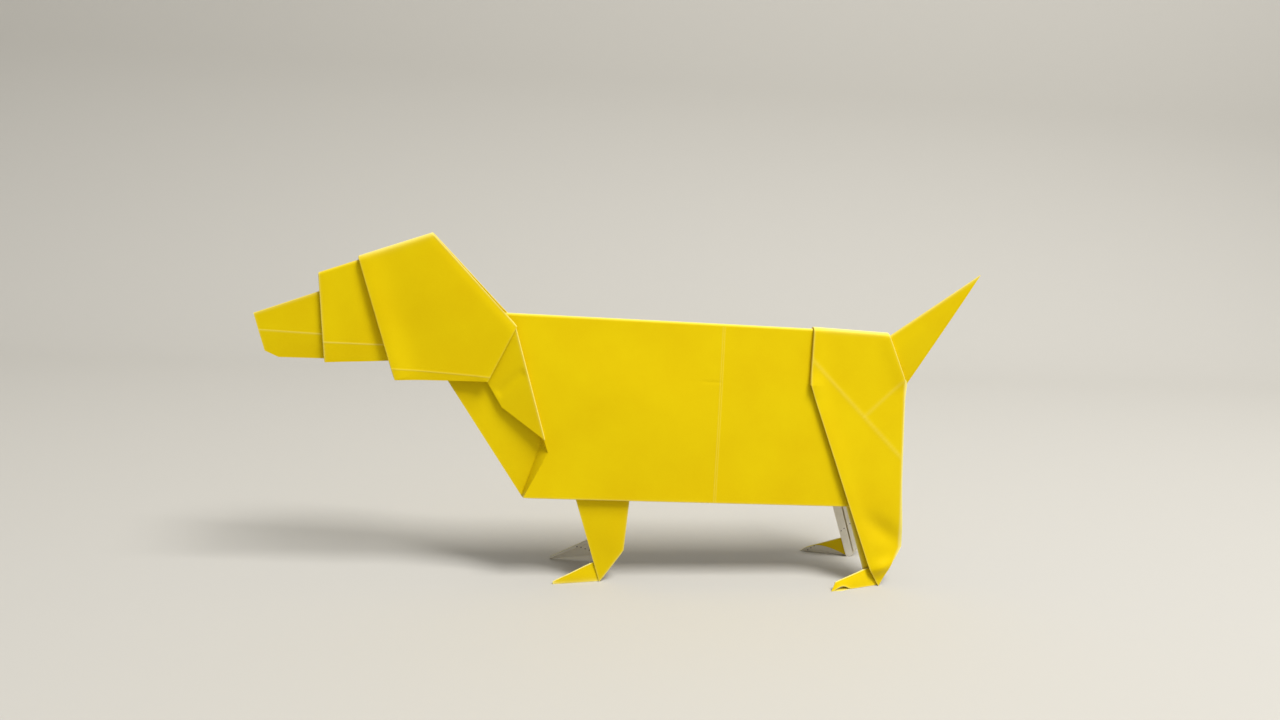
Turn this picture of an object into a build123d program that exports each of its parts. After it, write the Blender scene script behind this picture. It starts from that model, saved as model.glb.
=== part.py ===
from build123d import *
import os
from math import cos, radians, sin, tan

# An origami dog folded from one square sheet, with its back along the sheet's diagonal.
# The folds are laid out in a side view: x runs to the tail, z runs up, x = 0 at the shoulder.
# Each wall then leans out from its back fold, and the far half mirrors the near half.
# Lengths are millimetres. Angles are degrees, turned from the tail's direction upwards.

# Sheet
paper = 0.12                # thickness of the sheet
layer_air = 0.10            # air between neighbouring layers of a pleat
muzzle_roll = 0.20          # mean radius of the tightest back fold
fold_ease = 0.02            # a rolled fold stays this far under the faces of its layers
crease_radius = 0.075       # rounding of a crease between two flat panels
pressed_radius = 0.12       # sharp edge of a crease pressed into a flat wall, from the sheet's middle
pressed_inset = 0.6         # such a crease stops this far from the wall's edges
head_lean = 4.5             # walls of the head and neck, outward from upright
body_lean = 8.1             # walls of the body, hindquarter and tail

# Back, belly and breast
back_height = 66.2          # back fold above the floor at the shoulder
back_angle = -1.2           # the back falls towards the tail
back_length = 77.4          # shoulder to the hindquarter's front fold
body_depth = 44.0           # back fold to belly fold
belly_hem = 8.0             # strip turned up inside the belly fold
hem_start = 6.0             # front end of that strip, behind the breast point
step_along = 10.0           # step between neck and body: along the back
step_depth = 30.4           # and below it
step_width = 1.6            # the step's slope, along the back
step_fall = 2.5             # and downwards
neck_nest = 0.04            # the neck's back fold nests this far inside the body's
breast_drop = 0.4           # the breast point hangs below the belly fold
belly_start = 0.75          # front corner of the belly fold, behind the breast fold
body_crease = 54.1          # double crease across the body, behind the shoulder
body_crease_gap = 0.5       # between its two lines

# Head
poll_ahead = 17.3           # top of the head, ahead of the shoulder
poll_rise = 18.5            # and above it
head_top_length = 18.5      # ridge of the head
head_top_angle = 19.9
head_front_length = 29.3    # front fold of the head
head_front_angle = -73.1
nape_length = 28.6          # fold at the back of the head
nape_angle = -46.3
cheek_length = 15.1         # free edge over the neck flap
cheek_angle = -116.0
jowl_crease = 2.85          # hem crease above the lower corners of the head, in front
cheek_crease = 1.2          # and behind

# Brow and muzzle, each tucked into the piece behind it
brow_tuck = 4.0             # hidden depth of the pleat under the head
brow_top_length = 14.2
brow_top_angle = 20.1
brow_front_length = 20.6
brow_front_angle = -86.0
brow_tuck_length = 25.6     # hidden fold under the head
brow_crease = 4.85          # hem crease above the lower corner
brow_crease_angle = -1.0
muzzle_tuck = 7.0           # hidden depth of the pleat under the brow
muzzle_top_length = 23.4    # hidden fold to the nose
muzzle_top_angle = 20.6
nose_length = 9.0
nose_angle = -74.3
muzzle_crease = 3.8         # hem crease below the nose
muzzle_crease_angle = -2.2
chin_length = 3.5           # blunt corner between nose and jaw
chin_angle = -24.8

# Neck flap
flap_hinge_inset = 0.8      # hinge, hidden behind the cheek edge
flap_length = 28.7          # its folded rear edge
flap_angle = -74.8
flap_lift = 0.35            # its tip stands off the body
flap_low_length = 13.2      # lower edge, from the tip forwards
flap_low_angle = 144.0
flap_notch_length = 6.9     # short edge up to the cheek
flap_notch_angle = 121.0
flap_return = 4.0           # strip folded under the rear edge
breast_hem = 5.0            # strip folded behind the breast edge

# Hindquarter and hind leg
croup_length = 20.2         # ridge of the hindquarter
croup_angle = -2.7
thigh_tuck = 8.0            # hidden depth of the pleat over the body
thigh_fold_length = 13.4
thigh_fold_angle = -92.1
thigh_edge_angle = -69.5    # front edge of the leg
ankle_height = 4.4          # lower end of that edge, above the floor
hip_crease = 6.9            # crease across the hindquarter, from this far down its front fold
hip_crease_angle = -44.8
rump_length = 11.5          # fold under the tail
rump_angle = -67.6
rump_crease_angle = -137.3  # crease from that fold's lower end to the other crease
hock_back = 8.2             # lower end of the leg's rear edge, behind the ankle
hock_height = 10.0          # and above the floor
hock_cut = 4.0              # blunt corner below that edge
hock_angle = -115.6
heel_angle = -119.9         # from that corner down to the floor
leg_peek = 0.9              # the leg's front hem shows this far ahead of its edge
leg_hem = 2.9               # width of that hem
leg_hem_start = 2.0         # its upper end, below the corner of the thigh
leg_slit = 0.35             # gap between the front and rear hems
rear_hem_length = 20.0      # rear hem, up from the hock

# Tail
tail_tuck = 3.0             # hidden depth of the pleat inside the rump
tail_length = 30.6
tail_angle = 36.5
tail_base = 12.6            # depth of the tail at its root

# Front leg, folded down from the belly hem
leg_start = 18.0            # front edge at the belly, behind the shoulder
leg_width = 13.7            # at the belly
leg_knee_back = 12.7        # rear corner, behind the front edge at the belly
leg_knee_height = 8.3
front_heel_back = 6.8       # heel, behind the front edge at the belly
front_stance = 6.85         # heel's distance from the middle plane

# Feet
front_foot_length = 11.8    # heel to toe
front_toe_splay = 1.5       # the toe stands this much further out than the heel
front_toe_height = 0.6      # blunt tip
front_instep_height = 4.9   # where the foot leaves the leg's front edge
hind_foot_length = 13.8
hind_toe_splay = 4.0
hind_toe_height = 2.0
hind_toe_slope = 1.2        # the blunt tip leans back
hind_foot_opening = 1.9     # the foot's inner wall stands off from its outer wall at the heel
hind_foot_inner = 3.0       # heel end of the inner wall, ahead of the heel
hind_lining_start = 3.2     # toe end of the inner wall, along the foot's ridge
sole_trim = 0.5             # paper below the floor line, cut off flat

# Derived sizes
layer_step = paper + layer_air
fold_radius = (layer_step + paper) / 2 - fold_ease
brow_roll = muzzle_roll + 2 * layer_step
head_roll = brow_roll + 2 * layer_step
body_roll = head_roll - 2 * layer_step
hind_roll = body_roll + 2 * layer_step
tail_roll = hind_roll - 2 * layer_step
clear_of_roll = 3 * head_roll
wall_reach = 4 * body_depth
half_width = body_depth


def heading(angle):
    return Vector(cos(radians(angle)), sin(radians(angle)))


def along(start, length, angle):
    return start + heading(angle) * length


def towards(start, end):
    return (end - start).normalized()


def mirrored_in(direction, fold):
    return fold * (2 * direction.dot(fold)) - direction


def crossing(start, direction, other, other_direction):
    across = Vector(-other_direction.Y, other_direction.X)
    return start + direction * ((other - start).dot(across) / direction.dot(across))


def at_height(start, direction, height):
    return crossing(start, direction, Vector(0, height), Vector(1, 0))


def opposite(point):
    return Vector(-point.X, point.Y)


class Layer:
    """A sheet rolled over a back fold, with one wall leaning out on each side."""

    def __init__(self, start, direction, roll, lean):
        self.start = start
        self.direction = direction if direction.X > 0 else direction * -1
        self.up = Vector(-self.direction.Y, self.direction.X)
        self.roll = roll
        self.lean = lean
        self.slant = radians(lean)

    def near(self, point):
        drop = (self.start - point).dot(self.up)
        return Vector(point.X, -self.roll / cos(self.slant) - drop * tan(self.slant), point.Y)

    def inside(self, layers):
        return Layer(self.start, self.direction, self.roll - layers * layer_step, self.lean)

    def section_side(self, radius):
        bend = Vector(-radius * cos(self.slant), radius * sin(self.slant))
        foot = bend - Vector(sin(self.slant), cos(self.slant)) * wall_reach
        return foot, bend, Vector(0, radius)

    def folded(self, outline):
        outer_foot, outer_bend, outer_top = self.section_side(self.roll + paper / 2)
        inner_foot, inner_bend, inner_top = self.section_side(self.roll - paper / 2)
        section = make_face(
            Line(outer_foot, outer_bend)
            + ThreePointArc(outer_bend, outer_top, opposite(outer_bend))
            + Line(opposite(outer_bend), opposite(outer_foot))
            + Line(opposite(outer_foot), opposite(inner_foot))
            + Line(opposite(inner_foot), opposite(inner_bend))
            + ThreePointArc(opposite(inner_bend), inner_top, inner_bend)
            + Line(inner_bend, inner_foot)
            + Line(inner_foot, outer_foot)
        )
        back = Plane(
            origin=(self.start.X, 0, self.start.Y),
            x_dir=(0, 1, 0),
            z_dir=(self.direction.X, 0, self.direction.Y),
        )
        walls = extrude(back * section, amount=wall_reach, both=True)
        side_view = Plane.XZ * make_face(Polyline(*outline, close=True))
        return walls & extrude(side_view, amount=half_width, both=True)


class Flat:
    """The plane of a single panel, through three of its corners."""

    def __init__(self, first, second, third):
        self.corners = (first, second, third)
        self.corner = first
        self.normal = (second - first).cross(third - first)

    def inside(self, layers):
        return Flat(*(corner + Vector(0, layers * layer_step, 0) for corner in self.corners))

    def near(self, point):
        ahead = point.X - self.corner.X
        above = point.Y - self.corner.Z
        y = self.corner.Y - (self.normal.X * ahead + self.normal.Z * above) / self.normal.Y
        return Vector(point.X, y, point.Y)


def panel(layer, *outline):
    corners = [layer.near(point) for point in outline]
    return extrude(Face(Wire.make_polygon(corners)), amount=paper / 2, both=True)


def rod(start, end, radius):
    return Solid.make_cylinder(radius, (end - start).length, Plane(origin=start, z_dir=end - start))


def crease(start, end):
    return rod(start, end, crease_radius)


def pressed_crease(layer, start, end):
    inset = towards(start, end) * pressed_inset
    first = layer.near(start + inset)
    second = layer.near(end - inset)
    across = Plane(origin=first, x_dir=(0, 1, 0), z_dir=second - first)
    return extrude(across * RegularPolygon(pressed_radius, 4), amount=(second - first).length)


def rolled_fold(outer, inner, start, end):
    first = (outer.near(start) + inner.near(start)) * 0.5
    second = (outer.near(end) + inner.near(end)) * 0.5
    return rod(first, second, fold_radius)


# Back line and the head's corners
back = heading(back_angle)
down = Vector(back.Y, -back.X)
shoulder = Vector(0, back_height)
poll = shoulder + Vector(-poll_ahead, poll_rise)
head_top = heading(head_top_angle)
brow_point = poll - head_top * head_top_length
head_front = heading(head_front_angle)
jowl = brow_point + head_front * head_front_length
nape = heading(nape_angle)
cheek_top = poll + nape * nape_length
cheek_low = along(cheek_top, cheek_length, cheek_angle)

head = Layer(brow_point, head_top, head_roll, head_lean)
lift_front = brow_point - head_front * clear_of_roll
lift_nape = poll - nape * clear_of_roll
head_walls = head.folded([lift_front, lift_nape, cheek_top, cheek_low, jowl])

# Brow: the hidden layer's ridge is the head's ridge mirrored in the front fold
brow_back = mirrored_in(head_top * -1, head_front)
brow_inner = brow_point + brow_back * brow_tuck
brow_top = heading(brow_top_angle)
brow_fold = (brow_back - brow_top).normalized()
brow_inner_low = brow_inner + brow_fold * brow_tuck_length
bridge_point = brow_inner - brow_top * brow_top_length
brow_front = heading(brow_front_angle)
brow_low = bridge_point + brow_front * brow_front_length

brow_pleat = Layer(brow_point, brow_back, head_roll - layer_step, head_lean)
lift_inner = brow_inner - brow_fold * clear_of_roll
brow_pleat_walls = brow_pleat.folded([lift_front, lift_inner, brow_inner_low, jowl])
brow = Layer(bridge_point, brow_top, brow_roll, head_lean)
lift_bridge = bridge_point - brow_front * clear_of_roll
brow_walls = brow.folded([lift_bridge, lift_inner, brow_inner_low, brow_low])

# Muzzle, tucked into the brow in the same way
muzzle_back = mirrored_in(brow_top * -1, brow_front)
muzzle_inner = bridge_point + muzzle_back * muzzle_tuck
muzzle_top = heading(muzzle_top_angle)
muzzle_fold = (muzzle_back - muzzle_top).normalized()
nose = muzzle_inner - muzzle_top * muzzle_top_length
nose_low = along(nose, nose_length, nose_angle)
chin = along(nose_low, chin_length, chin_angle)
muzzle_inner_low = at_height(muzzle_inner, muzzle_fold, chin.Y)

muzzle_pleat = Layer(bridge_point, muzzle_back, brow_roll - layer_step, head_lean)
lift_muzzle = muzzle_inner - muzzle_fold * clear_of_roll
muzzle_pleat_walls = muzzle_pleat.folded([lift_bridge, lift_muzzle, muzzle_inner_low, brow_low])
muzzle = Layer(nose, muzzle_top, muzzle_roll, head_lean)
lift_nose = nose - heading(nose_angle) * clear_of_roll
muzzle_walls = muzzle.folded([lift_nose, lift_muzzle, muzzle_inner_low, chin, nose_low])

# Nape pleat: its hidden ridge runs down to the back line, and its inner fold is the breast edge
nape_back = mirrored_in(head_top, nape)
withers = crossing(poll, nape_back, shoulder, back)
breast_fold = (nape_back + back).normalized()
belly_front = shoulder + down * body_depth
breast = crossing(withers, breast_fold, belly_front + down * breast_drop, back)
belly_corner = crossing(withers, breast_fold, belly_front, back) + back * belly_start
throat = crossing(withers, breast_fold, jowl, towards(jowl, cheek_low))
hinge_top = cheek_top - nape * flap_hinge_inset
hinge_low = cheek_low + towards(cheek_low, jowl) * flap_hinge_inset

nape_pleat = Layer(poll, nape_back, head_roll - layer_step, head_lean)
lift_withers = withers - breast_fold * clear_of_roll
nape_pleat_walls = nape_pleat.folded([lift_nape, hinge_top, hinge_low, throat, lift_withers])

# Neck, step and body
step_inner = shoulder + back * step_along + down * step_depth
step_outer = step_inner + back * step_width + down * step_fall
neck = Layer(shoulder, back, body_roll - neck_nest, head_lean)
lift_shoulder = shoulder - towards(shoulder, step_outer) * clear_of_roll
lift_neck = lift_shoulder + back * clear_of_roll
neck_walls = neck.folded([lift_withers, lift_neck, shoulder, step_inner, breast])

body = Layer(shoulder, back, body_roll, body_lean)
croup = heading(croup_angle)
thigh_point = shoulder + back * back_length
thigh_edge = heading(thigh_edge_angle)
thigh_fold = heading(thigh_fold_angle)
thigh_corner = thigh_point + thigh_fold * thigh_fold_length
thigh_back = mirrored_in(croup * -1, thigh_fold)
thigh_inner = thigh_point + thigh_back * thigh_tuck
thigh_inner_low = thigh_inner + thigh_fold * thigh_fold_length
belly_rear = crossing(thigh_inner_low, thigh_edge, belly_front, back)
lift_thigh_inner = thigh_inner - thigh_fold * clear_of_roll
body_walls = body.folded(
    [lift_shoulder, lift_thigh_inner, thigh_inner_low, belly_rear, belly_corner, step_outer]
)

# Hindquarter, folded back over the body, with the hind leg in the same wall
hind = Layer(thigh_point, croup, hind_roll, body_lean)
ankle = at_height(thigh_corner, thigh_edge, ankle_height)
rump_point = thigh_point + croup * croup_length
rump = heading(rump_angle)
rump_low = rump_point + rump * rump_length
rear_low = Vector(ankle.X + hock_back, hock_height)
hock = along(rear_low, hock_cut, hock_angle)
hind_heel = at_height(hock, heading(heel_angle), 0)
lift_thigh = thigh_point - thigh_fold * clear_of_roll
lift_rump = rump_point - rump * clear_of_roll
hind_walls = hind.folded(
    [lift_thigh, lift_rump, rump_low, rear_low, hock, hind_heel, ankle, thigh_corner]
)
thigh_pleat = Layer(thigh_point, thigh_back, hind_roll - layer_step, body_lean)
thigh_pleat_walls = thigh_pleat.folded([lift_thigh, lift_thigh_inner, thigh_inner_low, thigh_corner])

# Tail, tucked into the rump
tail_back = mirrored_in(croup, rump)
tail_inner = rump_point + tail_back * tail_tuck
tail_top = heading(tail_angle)
tail_tip = tail_inner + tail_top * tail_length
tail_low = tail_inner + Vector(tail_top.Y, -tail_top.X) * tail_base
tail_fold = towards(tail_inner, rump_low)
lift_tail = tail_inner - tail_fold * clear_of_roll
lift_tip = tail_tip + towards(tail_low, tail_tip) * clear_of_roll
tail_pleat = Layer(rump_point, tail_back, hind_roll - layer_step, body_lean)
tail_pleat_walls = tail_pleat.folded([lift_rump, rump_low, lift_tail])
tail = Layer(tail_inner, tail_top, tail_roll, body_lean)
tail_walls = tail.folded([lift_tail, lift_tip, tail_low, rump_low])

folded_walls = [
    muzzle_walls,
    muzzle_pleat_walls,
    brow_walls,
    brow_pleat_walls,
    head_walls,
    nape_pleat_walls,
    neck_walls,
    body_walls,
    thigh_pleat_walls,
    hind_walls,
    tail_pleat_walls,
    tail_walls,
]

# Turns of the pleats, where one layer rolls into the next
pleat_turns = [
    rolled_fold(muzzle_pleat, muzzle, muzzle_inner, muzzle_inner_low),
    rolled_fold(brow, muzzle_pleat, bridge_point, brow_low),
    rolled_fold(brow_pleat, brow, brow_inner, brow_inner_low),
    rolled_fold(head, brow_pleat, brow_point, jowl),
    rolled_fold(head, nape_pleat, poll, hinge_top),
    rolled_fold(nape_pleat, neck, withers, throat),
    rolled_fold(hind, thigh_pleat, thigh_point, thigh_corner),
    rolled_fold(thigh_pleat, body, thigh_inner, thigh_inner_low),
    rolled_fold(hind, tail_pleat, rump_point, rump_low),
    rolled_fold(tail_pleat, tail, tail_inner, rump_low),
]

# Hem behind the breast edge, and the step that brings the neck out to the body's wall
neck_inner = neck.inside(1)
hem_corner = throat + towards(throat, step_inner) * breast_hem
upper_step = Flat(body.near(shoulder), neck.near(step_inner), body.near(step_outer))
lower_step = Flat(neck.near(step_inner), body.near(step_outer), body.near(belly_corner))
breast_step = Flat(neck.near(step_inner), body.near(belly_corner), neck.near(breast))
breast_pieces = [
    panel(neck_inner, throat, hem_corner, breast),
    rolled_fold(neck, neck_inner, throat, breast),
    panel(upper_step, shoulder, step_inner, step_outer),
    panel(lower_step, step_inner, step_outer, belly_corner),
    panel(breast_step, step_inner, belly_corner, breast),
    crease(neck.near(shoulder), neck.near(step_inner)),
    crease(neck.near(step_inner), neck.near(breast)),
    crease(body.near(shoulder), body.near(step_outer)),
    crease(body.near(step_outer), body.near(belly_corner)),
    crease(neck.near(step_inner), body.near(step_outer)),
    crease(neck.near(step_inner), body.near(belly_corner)),
]

# Creases pressed into flat walls: above the hems of the muzzle, brow and head, and across the body and hips
muzzle_mark = along(nose, muzzle_crease, nose_angle)
brow_mark = brow_low - brow_front * brow_crease
crease_top = shoulder + back * body_crease
crease_low = belly_front + back * body_crease
crease_half = back * (body_crease_gap / 2)
hip_mark = thigh_point + thigh_fold * hip_crease
hip = heading(hip_crease_angle)
pressed_creases = [
    pressed_crease(
        muzzle,
        muzzle_mark,
        crossing(muzzle_mark, heading(muzzle_crease_angle), muzzle_inner, muzzle_fold),
    ),
    pressed_crease(
        brow,
        brow_mark,
        crossing(brow_mark, heading(brow_crease_angle), brow_inner, brow_fold),
    ),
    pressed_crease(
        head,
        jowl - head_front * jowl_crease,
        cheek_low + towards(cheek_low, cheek_top) * cheek_crease,
    ),
    pressed_crease(body, crease_top - crease_half, crease_low - crease_half),
    pressed_crease(body, crease_top + crease_half, crease_low + crease_half),
    pressed_crease(hind, hip_mark, crossing(hip_mark, hip, rump_low, towards(rump_low, rear_low))),
    pressed_crease(hind, rump_low, crossing(rump_low, heading(rump_crease_angle), hip_mark, hip)),
]

# Neck flap, hinged behind the cheek and lying over the neck
flap_tip = along(cheek_top, flap_length, flap_angle)
flap_low = along(flap_tip, flap_low_length, flap_low_angle)
flap_notch = along(flap_low, flap_notch_length, flap_notch_angle)
tip_corner = body.near(flap_tip) - Vector(0, flap_lift, 0)
flap = Flat(nape_pleat.near(hinge_top), nape_pleat.near(hinge_low), tip_corner)
flap_edge = towards(hinge_top, flap_tip)
return_point = (hinge_top + flap_tip) * 0.5 + Vector(flap_edge.Y, -flap_edge.X) * flap_return
flap_strip = Flat(flap.near(hinge_top), flap.near(flap_tip), neck.near(return_point))
flap_pieces = [
    panel(flap, hinge_top, flap_tip, flap_low),
    panel(flap, hinge_top, flap_low, flap_notch),
    panel(flap, hinge_top, flap_notch, hinge_low),
    panel(flap_strip, hinge_top, flap_tip, return_point),
    crease(flap.near(hinge_top), flap.near(hinge_low)),
    crease(flap.near(hinge_top), flap.near(flap_tip)),
]

# Belly hem, and the front leg folded down from its upper edge
hem_front = belly_corner + back * hem_start
hem_rear = belly_rear - back * hem_start
belly_inner = body.inside(1)
leg_front = crossing(Vector(leg_start, 0), Vector(0, 1), belly_front, back)
leg_rear = leg_front + back * leg_width
front_heel = Vector(leg_start + front_heel_back, 0)
front_knee = Vector(leg_start + leg_knee_back, leg_knee_height)
below = Vector(0, -sole_trim)
hem_line = belly_front - down * belly_hem
leg_top_front = crossing(front_heel, towards(front_heel, leg_front), hem_line, back)
leg_top_rear = crossing(front_knee, towards(front_knee, leg_rear), hem_line, back)
leg_inner = body.inside(2)
heel_corner = Vector(front_heel.X, -front_stance, 0)
front_leg = Flat(leg_inner.near(leg_top_front), leg_inner.near(leg_top_rear), heel_corner)
leg_pieces = [
    panel(belly_inner, hem_front, hem_rear, hem_rear - down * belly_hem, hem_front - down * belly_hem),
    rolled_fold(body, belly_inner, hem_front, hem_rear),
    panel(front_leg, leg_top_front, leg_top_rear, front_knee, front_heel + below),
    rolled_fold(belly_inner, front_leg, leg_top_front, leg_top_rear),
]

# Front foot: a lining behind the leg turns forward out of its front edge
front_instep = at_height(front_heel, towards(front_heel, leg_front), front_instep_height)
front_lining = front_leg.inside(1)
front_toe = front_heel - Vector(front_foot_length, 0)
front_toe_top = front_toe + Vector(0, front_toe_height)
front_toe_corner = Vector(front_toe.X, -front_stance - front_toe_splay, 0)
front_foot = Flat(front_toe_corner, front_lining.near(front_instep), front_lining.near(front_heel))
front_foot_pieces = [
    panel(front_lining, front_instep, front_knee, front_heel + below),
    rolled_fold(front_leg, front_lining, front_knee, front_heel),
    panel(front_foot, front_toe + below, front_toe_top, front_instep, front_heel + below),
    crease(front_lining.near(front_instep), front_lining.near(front_heel)),
]

# Hind leg's two hems, with the slit between them
ahead = Vector(thigh_edge.Y, -thigh_edge.X)
hind_inner = hind.inside(1)
ankle_line = towards(ankle, hock)
hem_end = ankle + Vector(0, leg_slit)
hem_top = thigh_corner + thigh_edge * leg_hem_start
hem_inner = hem_top - ahead * (leg_hem - leg_peek)
slit_inner = hem_inner - ahead * leg_slit
rear_top = rear_low + towards(rear_low, rump_low) * rear_hem_length
leg_hem_pieces = [
    panel(
        hind_inner,
        hem_top + ahead * leg_peek,
        hem_inner,
        crossing(hem_inner, thigh_edge, hem_end, ankle_line),
        crossing(hem_top + ahead * leg_peek, thigh_edge, hem_end, ankle_line),
    ),
    rolled_fold(hind, hind_inner, hem_top, ankle),
    panel(
        hind_inner,
        at_height(slit_inner, thigh_edge, rear_top.Y),
        rear_top,
        rear_low,
        crossing(rear_low, towards(rear_low, hock), hem_end, ankle_line),
        crossing(slit_inner, thigh_edge, hem_end, ankle_line),
    ),
    rolled_fold(hind, hind_inner, rear_top, rear_low),
]

# Hind foot: a small tent with an outer and an inner wall, open below
hind_toe = hind_heel - Vector(hind_foot_length, 0)
hind_toe_top = hind_toe + Vector(hind_toe_slope, hind_toe_height)
heel_place = hind_inner.near(hind_heel)
hind_toe_corner = heel_place - Vector(hind_foot_length, hind_toe_splay, 0)
hind_foot = Flat(hind_toe_corner, hind_inner.near(ankle), heel_place)
inner_heel = hind_heel - Vector(hind_foot_inner, 0)
inner_heel_place = heel_place + Vector(-hind_foot_inner, hind_foot_opening, 0)
hind_foot_lining = Flat(hind_foot.near(hind_toe_top), hind_inner.near(ankle), inner_heel_place)
lining_front = hind_toe_top + towards(hind_toe_top, ankle) * hind_lining_start
hind_foot_pieces = [
    panel(hind_inner, ankle, hock, hind_heel + below),
    rolled_fold(hind, hind_inner, hock, hind_heel),
    panel(hind_foot, hind_toe + below, hind_toe_top, ankle, hind_heel + below),
    crease(hind_inner.near(ankle), heel_place),
    panel(hind_foot_lining, lining_front, ankle, inner_heel + below),
    crease(hind_foot.near(hind_toe_top), hind_inner.near(ankle)),
]

near_half = (
    pleat_turns + breast_pieces + pressed_creases + flap_pieces + leg_pieces
    + front_foot_pieces + leg_hem_pieces + hind_foot_pieces
)
far_half = [mirror(piece, about=Plane.XZ) for piece in near_half]
folded_sheet = Part() + folded_walls + near_half + far_half

# The feet are cut flat at the floor, and the dog is centred between nose and tail
below_floor = Pos(0, 0, -back_height / 2) * Box(4 * back_length, 2 * half_width, back_height)
folded_sheet = folded_sheet - below_floor
folded_sheet = Pos(-folded_sheet.bounding_box().center().X, 0, 0) * folded_sheet

os.makedirs("parts", exist_ok=True)
export_step(folded_sheet, "parts/folded_sheet.step")
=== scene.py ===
import bmesh
import bpy
import numpy as np
from mathutils import Matrix


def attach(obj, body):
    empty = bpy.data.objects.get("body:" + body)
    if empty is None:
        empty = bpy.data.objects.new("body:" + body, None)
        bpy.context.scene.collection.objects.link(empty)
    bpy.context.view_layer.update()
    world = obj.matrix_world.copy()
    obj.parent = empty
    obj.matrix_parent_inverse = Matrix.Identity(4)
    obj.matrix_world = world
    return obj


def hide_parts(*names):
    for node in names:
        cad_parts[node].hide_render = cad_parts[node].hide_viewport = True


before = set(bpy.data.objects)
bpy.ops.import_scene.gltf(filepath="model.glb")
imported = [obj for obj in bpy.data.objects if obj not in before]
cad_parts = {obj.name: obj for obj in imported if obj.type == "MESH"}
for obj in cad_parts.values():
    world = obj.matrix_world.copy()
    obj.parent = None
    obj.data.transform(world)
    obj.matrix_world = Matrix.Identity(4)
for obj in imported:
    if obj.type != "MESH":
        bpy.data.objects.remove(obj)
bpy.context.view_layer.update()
print("frame loaded")

# The dog is drawn in a side view, in millimetres, as complex numbers x + zj.
# x = 0 at the shoulder and grows towards the tail, and z = 0 on the floor.
sheet = {
    "thickness": 0.12,
    "layerStep": 0.22,      # from one layer of a pleat to the next
    "shoulderAt": -30.9,    # the shoulder's x in the frame
    "arcSteps": 6,          # rows over half a rolled back fold
    "turnSteps": 8,         # columns round the turn of a pleat
    "leastBow": 0.1,        # share of a turn's bow that is left at its ends
    "foldWear": 0.14,       # pale ink reaches this far from a fold
    "fibreDepth": 0.1,      # height of the finish's fine bump at full strength
    "weld": 0.002,          # edges this close are joined
    "sharpFrom": 40,        # bends sharper than this, in degrees, aren't shaded smooth
}
millimetre = 0.001
step = sheet["layerStep"]
headLean, bodyLean = 4.5, 8.1       # walls lean out from upright, in degrees


# Unit step at an angle: cosine along x, sine along z
def heading(angle):
    return np.exp(1j * np.radians(angle))


# Stride of a length at an angle, given as a pair
def stride(pair):
    return heading(pair[1]) * pair[0]


# Vector divided by its length
def unit(vector):
    return vector / abs(vector)


# Direction reflected in a fold line: the fold squared times the conjugate
def mirrored(direction, fold):
    return fold * fold * np.conj(direction)


# Side product of two side-view vectors: real a times imaginary b, less the other way round
def sideways(a, b):
    return (np.conj(a) * b).imag


# Point where two lines meet: start plus the share of the direction that reaches the other line
def crossing(start, direction, other, otherDirection):
    share = sideways(other - start, otherDirection) / sideways(direction, otherDirection)
    return start + direction * share


# Point of a line at a height: where it crosses the level line
def atLevel(start, direction, height):
    return crossing(start, direction, 1j * height, 1 + 0j)


# A sheet rolled over a back fold: ridge line, roll radius and lean of its two walls
def layer(start, direction, roll, lean):
    if direction.real < 0:
        direction = -direction
    return {"start": start, "up": 1j * direction, "roll": roll, "slant": np.radians(lean)}


# The same wall some layers further in: its roll less that many layer steps
def inside(outer, layers):
    return {**outer, "roll": outer["roll"] - layers * step}


# Place on a near wall: out from the middle by the roll over its cosine, plus the drop times the tangent
def place(wall, point):
    drop = ((wall["start"] - point) * np.conj(wall["up"])).real
    out = wall["roll"] / np.cos(wall["slant"]) + drop * np.tan(wall["slant"])
    return np.array([point.real, -out, point.imag])


# Plane of a flat panel through three places, read at a side-view point
def onPlane(first, second, third, point):
    normal = np.cross(second - first, third - first)
    ahead, above = point.real - first[0], point.imag - first[2]
    out = first[1] - (normal[0] * ahead + normal[2] * above) / normal[1]
    return np.array([point.real, out, point.imag])


# Rows between knots: each gap is eased by half a cosine, so rows crowd at corners and creases
def easedRows(knots, counts):
    gaps = [a + (b - a) * (0.5 - 0.5 * np.cos(np.linspace(0, np.pi, n + 1)))
            for a, b, n in zip(knots[:-1], knots[1:], counts)]
    return np.unique(np.concatenate(gaps).round(9))


# Rows up to a knot, with room for rounding
def rowsUpTo(rows, knot):
    return rows[rows <= knot + 1e-6]


# Straight runs through corners: each coordinate interpolated over the knots
def runs(corners, knots, rows):
    corners = np.array(corners)
    return np.stack([np.interp(rows, knots, corners[:, k]) for k in range(3)], axis=1)


# Fold line over the back: about a quarter circle of the roll, then straight runs down the wall,
# and the same mirrored on the far side, from the near hem over the ridge to the far hem
def rib(wall, points, knots, rows):
    top, below = points[:2]
    climb = (top - below) / ((top - below) * np.conj(wall["up"])).real
    angles = np.linspace(0, np.pi / 2 - wall["slant"], sheet["arcSteps"])
    arc = top + climb * wall["roll"] * np.cos(angles)
    arcRows = np.stack([arc.real, -wall["roll"] * np.sin(angles), arc.imag], axis=1)
    near = np.concatenate([arcRows, runs([place(wall, p) for p in points], knots, rows)])
    return np.concatenate([near[::-1], near[1:] * [1, -1, 1]])


# Mark or bend along a line between two side-view points
def fromTo(start, end, **shape):
    return {"from": start, "to": end, **shape}


# Bell curve across a line, faded over one width past both of its ends
def raisedLine(points, mark):
    start, end, width = mark["from"], mark["to"], mark["width"]
    length = abs(end - start)
    along = ((points - start) * np.conj(unit(end - start))).real
    across = sideways(unit(end - start), points - start)
    ends = np.clip(along / width + 1, 0, 1) * np.clip((length - along) / width + 1, 0, 1)
    return ends * np.exp(-(across / width) ** 2)


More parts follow.
